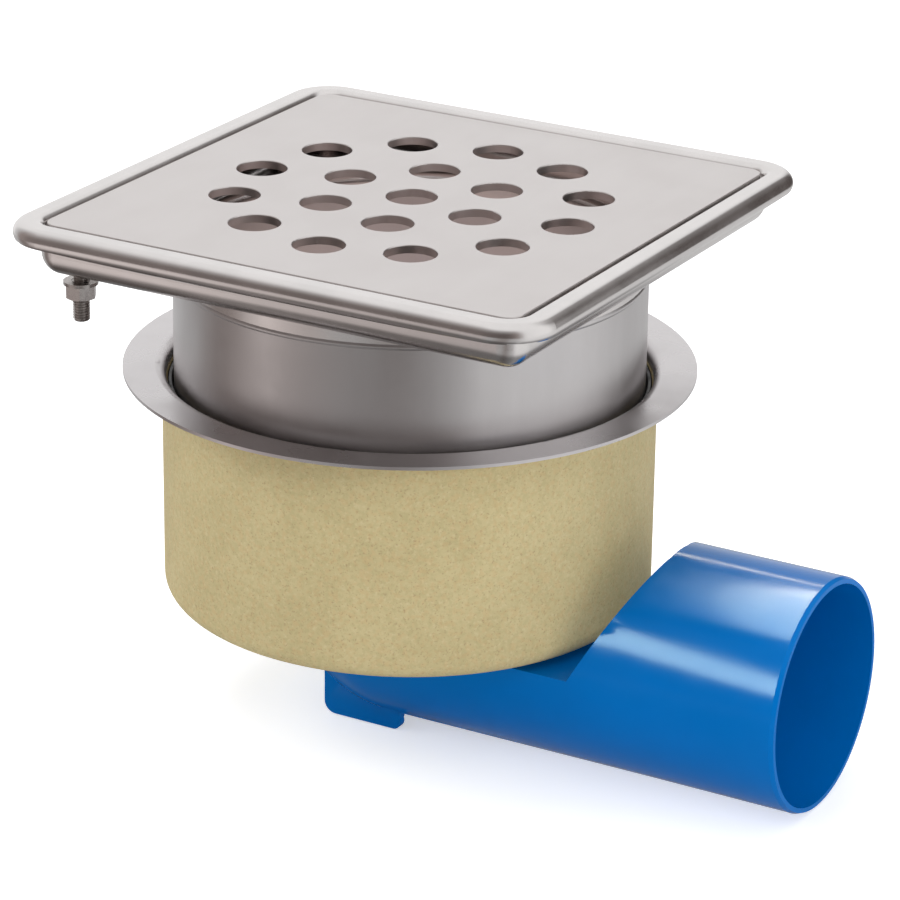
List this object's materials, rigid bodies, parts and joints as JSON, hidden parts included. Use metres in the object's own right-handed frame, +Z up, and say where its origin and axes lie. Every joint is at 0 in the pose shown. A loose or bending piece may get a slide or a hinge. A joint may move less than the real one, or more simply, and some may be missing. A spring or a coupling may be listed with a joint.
{
  "type": "gully trap",
  "caption": "Floor gully with a square perforated stainless grate, a telescoping round spigot, a membrane flange, a speckled bowl with a bell trap and a blue side outlet.",
  "frame": {"origin": "on the drain's vertical axis, in the plane of the membrane flange's top face", "axes": "+Z up along the drain's axis, +X along the outlet pipe towards its mouth"},
  "size_m": [0.3553, 0.274, 0.2559],
  "materials": {
    "plate_steel": "satin, fine blasted",
    "frame_steel": "bright rolled sheet",
    "tube_steel": "satin sheet",
    "fastener_steel": "turned",
    "flange_steel": "satin sheet",
    "seal_rubber": "smooth black",
    "polymer_concrete": "cast, fine speckled grain",
    "blue_plastic": "gloss moulded",
    "grey_plastic": "moulded"
  },
  "bodies": {
    "housing": {"membrane_flange": "flange_steel", "bowl": "polymer_concrete", "outlet_gasket": "seal_rubber", "outlet": "blue_plastic", "floor_seal": "seal_rubber", "clamp_ring": "blue_plastic", "overflow_pipe": "grey_plastic", "bell": "grey_plastic"},
    "seal": {"lip_seal": "seal_rubber"},
    "top_section": {"grate": "plate_steel", "top_frame": "frame_steel", "corner_rests": "frame_steel", "spigot": "tube_steel", "earth_stud": "fastener_steel", "earth_washer": "fastener_steel", "earth_nut": "fastener_steel"}
  },
  "joints": [
    {"name": "top_turn", "type": "hinge", "parent": "housing", "child": "seal", "pos_m": [0, 0, 0], "axis": [0, 0, 1], "continuous": true},
    {"name": "top_height", "type": "slide", "parent": "seal", "child": "top_section", "axis": [0, 0, 1], "range_m": [-0.035, 0.012]}
  ]
}
